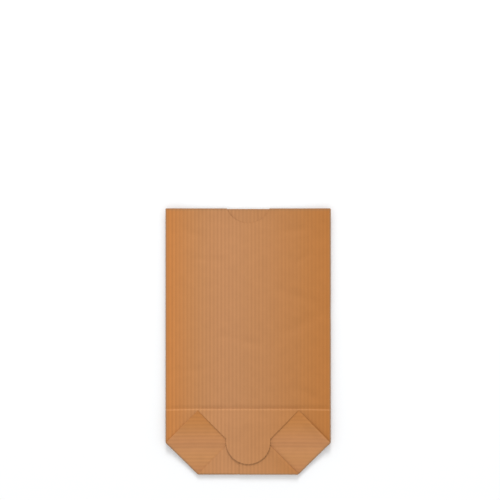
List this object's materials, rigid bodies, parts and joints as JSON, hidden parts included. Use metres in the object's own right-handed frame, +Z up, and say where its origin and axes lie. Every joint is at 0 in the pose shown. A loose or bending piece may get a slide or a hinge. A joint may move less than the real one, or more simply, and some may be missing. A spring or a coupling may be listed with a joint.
{
  "type": "flat-folded cross-bottom paper bag",
  "caption": "Flat-folded bag of ribbed brown kraft paper with a folded hexagonal bottom, glued flaps, a round tongue and a thumb notch at the mouth.",
  "frame": {"origin": "on the floor under the middle of the flat bag", "axes": "+X across the bag, +Y from the folded bottom to the mouth, +Z up, out of the front wall; the bag lies on its rear wall"},
  "size_m": [0.145, 0.234, 0.0061],
  "materials": {
    "kraft_paper": "brown machine-glazed kraft paper with fine ribs, matt"
  },
  "bodies": {
    "root": {"paper_bag": "kraft_paper"}
  },
  "joints": []
}
